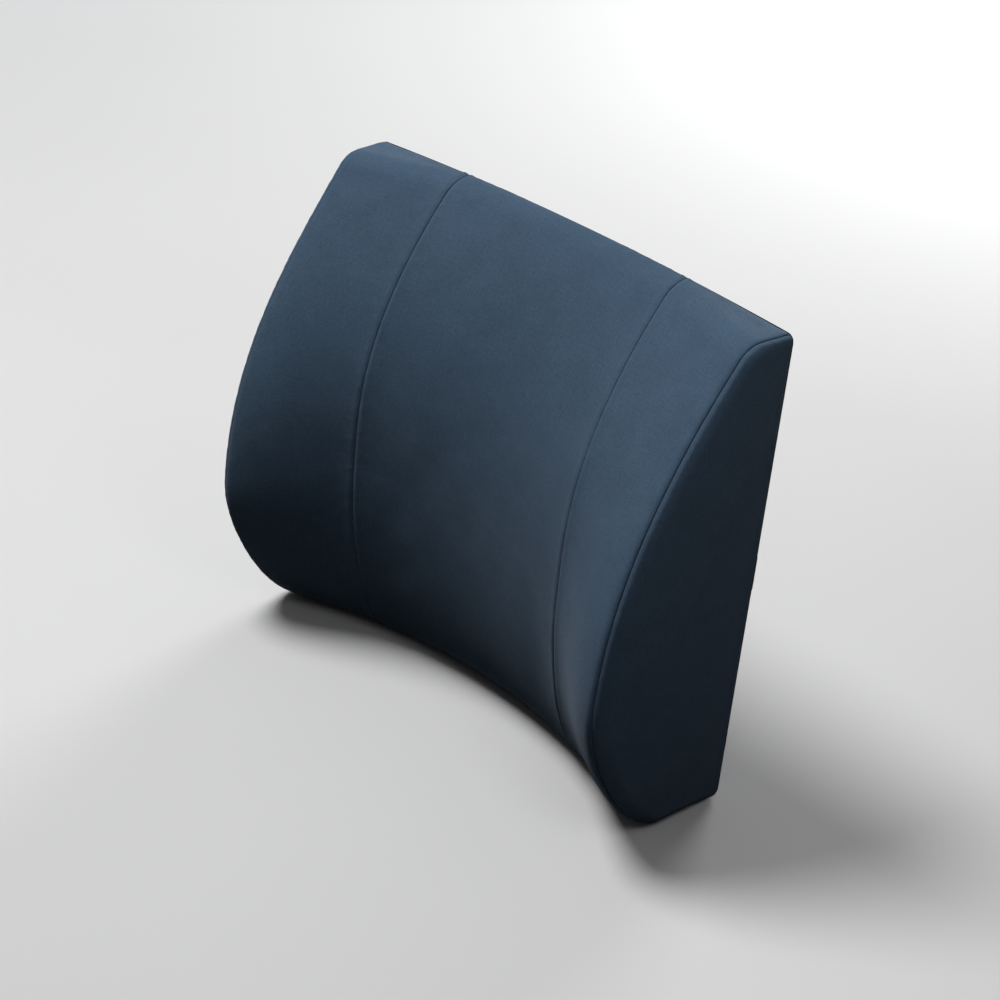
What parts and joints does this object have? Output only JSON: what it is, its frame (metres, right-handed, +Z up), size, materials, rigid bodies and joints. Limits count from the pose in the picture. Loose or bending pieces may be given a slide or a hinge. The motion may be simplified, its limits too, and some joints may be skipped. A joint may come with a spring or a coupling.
{
  "type": "lumbar support cushion",
  "caption": "Contoured lumbar cushion with side bolsters: foam core and stiff insert in a panelled, zipped fabric cover, with a webbing strap and side-release buckle behind.",
  "frame": {"origin": "bottom centre of the bounding box, with the cushion upright and the buckle closed on its back", "axes": "+Z up; -Y is the front that meets the sitter's back, +Y is the flat back that meets the chair; +X is to the right seen from the front"},
  "size_m": [0.356, 0.1372, 0.33],
  "materials": {
    "cover_fabric": "matte",
    "back_fabric": "matte",
    "foam": "matte",
    "insert_board": "matte",
    "lining": "matte",
    "zip_tape": "matte",
    "zip_coil": "satin",
    "zip_metal": "satin",
    "webbing": "matte",
    "buckle_plastic": "satin",
    "label_fabric": "satin"
  },
  "bodies": {
    "root": {"foam_core": "foam", "support_board": "insert_board", "board_sleeve": "lining", "cover_front_centre": "cover_fabric", "cover_front_left": "cover_fabric", "cover_front_right": "cover_fabric", "cover_side_left": "cover_fabric", "cover_side_right": "cover_fabric", "cover_back_upper": "back_fabric", "cover_back_lower": "back_fabric", "zip_tape_upper": "zip_tape", "zip_tape_lower": "zip_tape", "zip_coil_upper": "zip_coil", "zip_coil_lower": "zip_coil", "zip_stop_left": "zip_metal", "zip_stop_right": "zip_metal", "strap_left": "webbing", "strap_right": "webbing", "buckle_socket": "buckle_plastic", "care_label": "label_fabric"},
    "zip_slider": {"zip_slider": "zip_metal"},
    "zip_pull": {"zip_pull": "zip_metal"},
    "buckle_plug": {"buckle_plug": "buckle_plastic", "strap_tail": "webbing"},
    "buckle_arm_upper": {"buckle_arm_upper": "buckle_plastic"},
    "buckle_arm_lower": {"buckle_arm_lower": "buckle_plastic"}
  },
  "joints": [
    {"name": "zip_slide", "type": "slide", "parent": "root", "child": "zip_slider", "axis": [-1, 0, 0], "range_m": [0, 0.27]},
    {"name": "zip_pull_flip", "type": "hinge", "parent": "zip_slider", "child": "zip_pull", "pos_m": [0.137, 0.0624, 0.045], "axis": [0, 0, -1], "range_deg": [0, 170]},
    {"name": "buckle_release", "type": "slide", "parent": "root", "child": "buckle_plug", "axis": [1, 0, 0], "range_m": [0, 0.03], "deforming": ["buckle_arm_upper", "buckle_arm_lower"]},
    {"name": "arm_upper_press", "type": "hinge", "parent": "buckle_plug", "child": "buckle_arm_upper", "pos_m": [0.007, 0.0639, 0.1746], "axis": [0, -1, 0], "range_deg": [0, 7], "stiffness_Nm_per_rad": 0.05},
    {"name": "arm_lower_press", "type": "hinge", "parent": "buckle_plug", "child": "buckle_arm_lower", "pos_m": [0.007, 0.0639, 0.1554], "axis": [0, 1, 0], "range_deg": [0, 7], "stiffness_Nm_per_rad": 0.05}
  ],
  "couplings": [
    {"joint": "arm_lower_press", "follows": "arm_upper_press", "ratio": 1}
  ]
}
